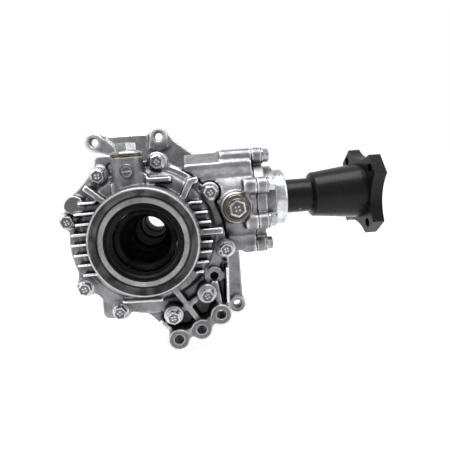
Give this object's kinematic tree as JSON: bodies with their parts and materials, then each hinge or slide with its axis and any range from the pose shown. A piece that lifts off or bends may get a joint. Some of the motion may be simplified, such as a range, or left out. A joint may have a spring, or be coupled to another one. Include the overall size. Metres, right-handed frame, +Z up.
{
  "type": "transfer case",
  "caption": "Automotive right-angle transfer case: finned aluminium castings, hollow input shaft, bevel gear pair and a long sleeved output flange.",
  "frame": {"origin": "where the input shaft's axis meets the rear mounting face", "axes": "+Y along the input axis out of the rear mounting face, +X along the output axis towards the companion flange, +Z up"},
  "size_m": [0.3486, 0.196, 0.255],
  "materials": {
    "cast_aluminium": "as-cast, with machined joints",
    "zinc_bolts": "bright zinc plate",
    "brass_gasket": "soft satin washer",
    "plug_steel": "dark plated steel",
    "seal_steel": "satin ring",
    "seal_rubber": "glossy with grease",
    "bearing_steel": "ground",
    "cage_steel": "pressed",
    "shaft_steel": "dark oiled steel",
    "gear_steel": "hardened and lapped",
    "black_paint": "satin black",
    "zinc_cover": "bright zinc plate",
    "nut_steel": "plated"
  },
  "bodies": {
    "case": {"transfer_case": "cast_aluminium", "adapter_case": "cast_aluminium", "pinion_housing": "cast_aluminium", "cover_bolts": "zinc_bolts", "pinion_housing_bolts": "zinc_bolts", "filler_plug": "zinc_bolts", "level_plug": "plug_steel", "filler_plug_gasket": "brass_gasket", "level_plug_gasket": "brass_gasket", "front_seal_case": "seal_steel", "front_seal_lip": "seal_rubber", "rear_seal": "seal_rubber", "pinion_seal": "seal_rubber", "pinion_housing_o_ring": "seal_rubber", "front_bearing_cup": "bearing_steel", "rear_bearing_cup": "bearing_steel", "pinion_inner_bearing_cup": "bearing_steel", "pinion_outer_bearing_cup": "bearing_steel"},
    "input_shaft": {"ring_gear_shaft": "shaft_steel", "ring_gear": "gear_steel", "ring_gear_bolts": "nut_steel", "front_bearing_cone": "bearing_steel", "rear_bearing_cone": "bearing_steel"},
    "output_shaft": {"drive_pinion": "gear_steel", "companion_flange": "black_paint", "dust_cover": "zinc_cover", "pinion_nut": "nut_steel", "pinion_washer": "nut_steel", "collapsible_spacer": "nut_steel", "pinion_inner_bearing_cone": "bearing_steel", "pinion_outer_bearing_cone": "bearing_steel"},
    "front_bearing_roller_set": {"front_bearing_rollers": "bearing_steel", "front_bearing_cage": "cage_steel"},
    "rear_bearing_roller_set": {"rear_bearing_rollers": "bearing_steel", "rear_bearing_cage": "cage_steel"},
    "pinion_inner_bearing_roller_set": {"pinion_inner_bearing_rollers": "bearing_steel", "pinion_inner_bearing_cage": "cage_steel"},
    "pinion_outer_bearing_roller_set": {"pinion_outer_bearing_rollers": "bearing_steel", "pinion_outer_bearing_cage": "cage_steel"}
  },
  "joints": [
    {"name": "input_spin", "type": "hinge", "parent": "case", "child": "input_shaft", "pos_m": [0, 0, 0], "axis": [0, 1, 0], "continuous": true},
    {"name": "pinion_spin", "type": "hinge", "parent": "case", "child": "output_shaft", "pos_m": [0.118, -0.072, 0.0255], "axis": [1, 0, 0], "continuous": true},
    {"name": "front_bearing_spin", "type": "hinge", "parent": "case", "child": "front_bearing_roller_set", "pos_m": [0, -0.118, 0], "axis": [0, 1, 0], "continuous": true},
    {"name": "rear_bearing_spin", "type": "hinge", "parent": "case", "child": "rear_bearing_roller_set", "pos_m": [0, -0.015, 0], "axis": [0, 1, 0], "continuous": true},
    {"name": "pinion_inner_bearing_spin", "type": "hinge", "parent": "case", "child": "pinion_inner_bearing_roller_set", "pos_m": [0.083, -0.072, 0.0255], "axis": [1, 0, 0], "continuous": true},
    {"name": "pinion_outer_bearing_spin", "type": "hinge", "parent": "case", "child": "pinion_outer_bearing_roller_set", "pos_m": [0.119, -0.072, 0.0255], "axis": [1, 0, 0], "continuous": true}
  ],
  "couplings": [
    {"joint": "pinion_spin", "follows": "input_spin", "ratio": -2.9286},
    {"joint": "front_bearing_spin", "follows": "input_spin", "ratio": 0.4625},
    {"joint": "rear_bearing_spin", "follows": "input_spin", "ratio": 0.4575},
    {"joint": "pinion_inner_bearing_spin", "follows": "input_spin", "ratio": -1.2723},
    {"joint": "pinion_outer_bearing_spin", "follows": "input_spin", "ratio": -1.2465}
  ]
}
